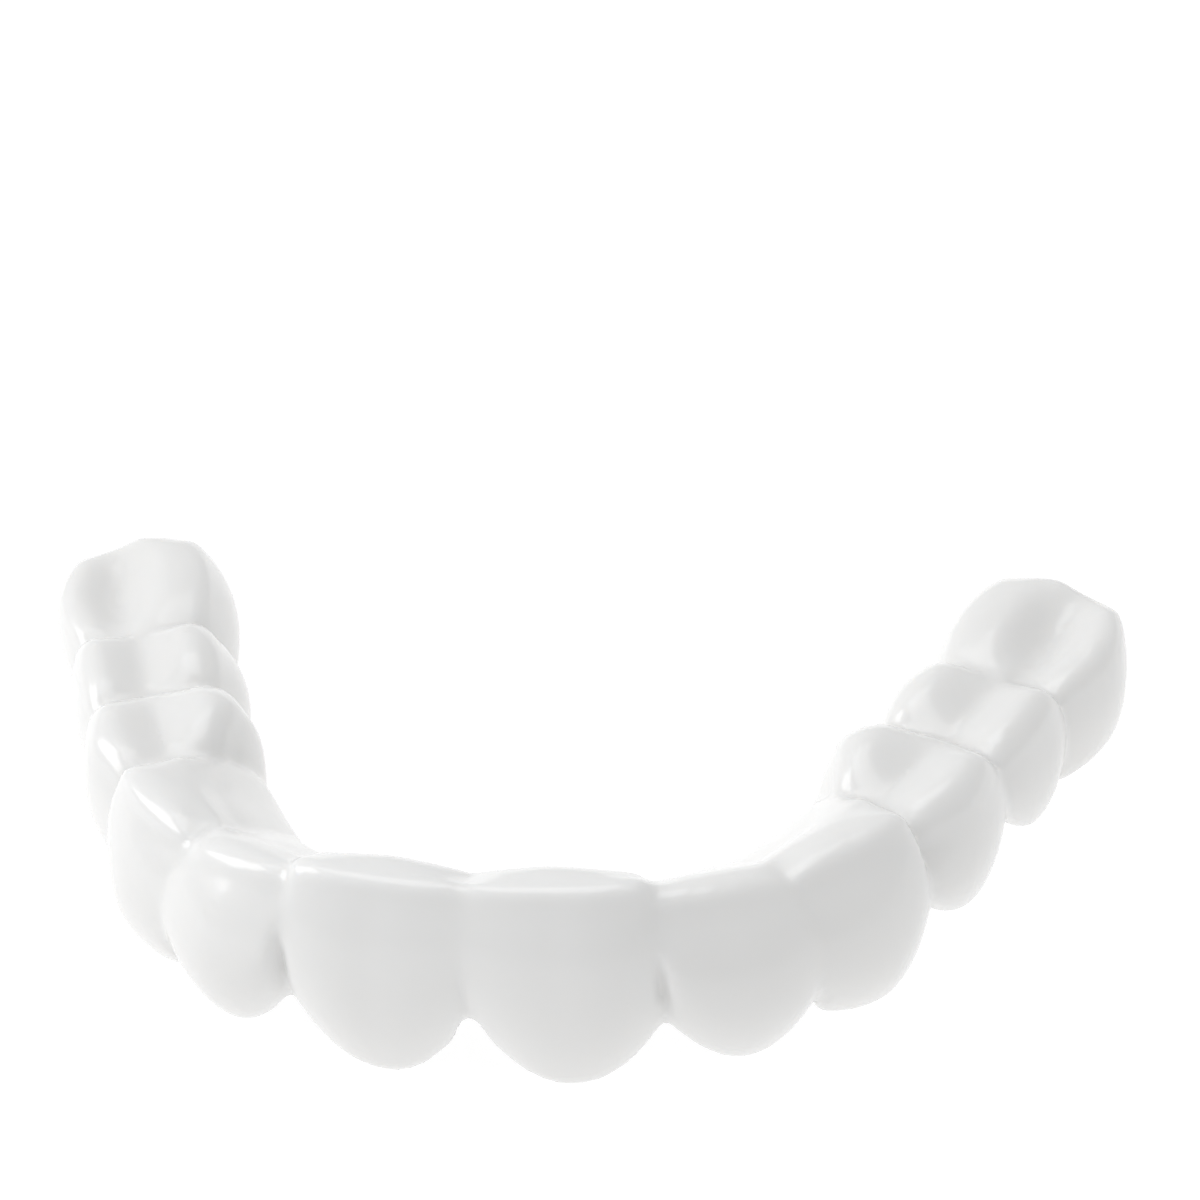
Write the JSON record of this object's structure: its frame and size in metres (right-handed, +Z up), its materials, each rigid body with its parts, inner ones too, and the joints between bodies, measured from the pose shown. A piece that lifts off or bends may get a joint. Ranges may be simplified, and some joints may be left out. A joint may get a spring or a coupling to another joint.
{
  "type": "clip-on dental veneer",
  "caption": "Rigid moulded resin shell of fused tooth crowns along one arch, hollow underneath, that clips over the upper teeth.",
  "frame": {"origin": "on the floor that the gum margins rest on, under the middle of the whole shell", "axes": "+Z up out of the biting side, -Y towards the front teeth, +Y towards the molars, +X to the right seen from the front"},
  "size_m": [0.0634, 0.0366, 0.0122],
  "materials": {
    "tooth_resin": "polished white dental resin"
  },
  "bodies": {
    "root": {"veneer_shell": "tooth_resin"}
  },
  "joints": []
}
